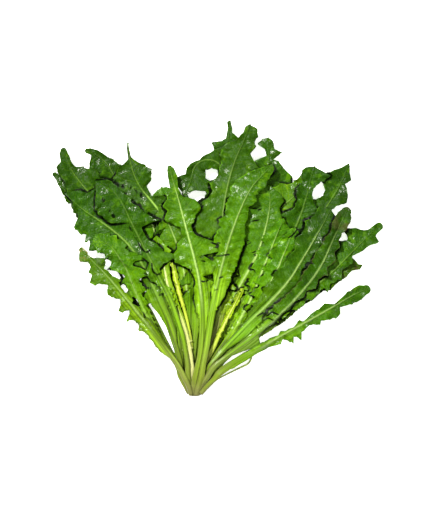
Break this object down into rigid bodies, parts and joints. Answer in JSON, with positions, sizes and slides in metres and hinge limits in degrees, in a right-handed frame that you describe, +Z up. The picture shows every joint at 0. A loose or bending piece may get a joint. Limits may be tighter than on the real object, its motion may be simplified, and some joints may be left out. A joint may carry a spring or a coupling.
{
  "type": "long-leaved endive head",
  "caption": "A cut head of long-leaved chicory lying flat: narrow toothed leaves with pale midribs fan out from one short stem end",
  "frame": {"origin": "on the surface that the head lies on, under the middle of its bounding box", "axes": "+Z up, the leaves fan out to +Y, the cut stem end points to -Y, +X runs across the fan to its right side seen from above"},
  "size_m": [0.4282, 0.356, 0.0443],
  "materials": {
    "leaf_green": "satin",
    "leaf_dark": "satin",
    "leaf_heart": "satin",
    "leaf_pale": "satin",
    "leaf_violet": "satin",
    "leaf_purple": "satin",
    "leaf_brown_tip": "satin",
    "stem": "satin",
    "stalk": "satin"
  },
  "bodies": {
    "root": {"under_leaf_1": "leaf_green", "under_leaf_2": "leaf_green", "under_leaf_3": "leaf_green", "under_leaf_4": "leaf_green", "under_leaf_5": "leaf_green", "under_leaf_6": "leaf_green", "left_outer_slim_leaf": "leaf_dark", "left_curled_leaf": "leaf_dark", "mid_small_leaf": "leaf_green", "top_dark_leaf": "leaf_dark", "top_right_narrow_leaf": "leaf_dark", "far_top_right_leaf": "leaf_dark", "left_upper_leaf": "leaf_dark", "left_pale_rib_leaf": "leaf_green", "folded_leaf": "leaf_dark", "right_inner_leaf": "leaf_green", "ragged_top_leaf": "leaf_dark", "right_hidden_rib_leaf": "leaf_green", "left_needle_leaf": "leaf_dark", "lime_streak_leaf": "leaf_heart", "centre_rib_leaf": "leaf_green", "centre_right_leaf": "leaf_green", "right_curled_leaf": "leaf_purple", "right_side_leaf": "leaf_green", "left_big_leaf": "leaf_dark", "left_mid_leaf": "leaf_green", "centre_violet_leaf": "leaf_violet", "heart_leaf": "leaf_heart", "right_broad_leaf": "leaf_green", "right_second_leaf": "leaf_green", "left_low_leaf": "leaf_green", "left_over_leaf": "leaf_dark", "winged_stalk_leaf": "leaf_pale", "big_top_leaf": "leaf_green", "right_long_leaf": "leaf_green", "far_right_leaf": "leaf_dark", "far_left_leaf": "leaf_brown_tip", "front_left_leaf": "leaf_green", "front_centre_leaf": "leaf_green", "front_right_leaf": "leaf_purple", "low_right_leaf": "leaf_green", "stem_core": "stem", "broken_stalk": "stalk"}
  },
  "joints": []
}
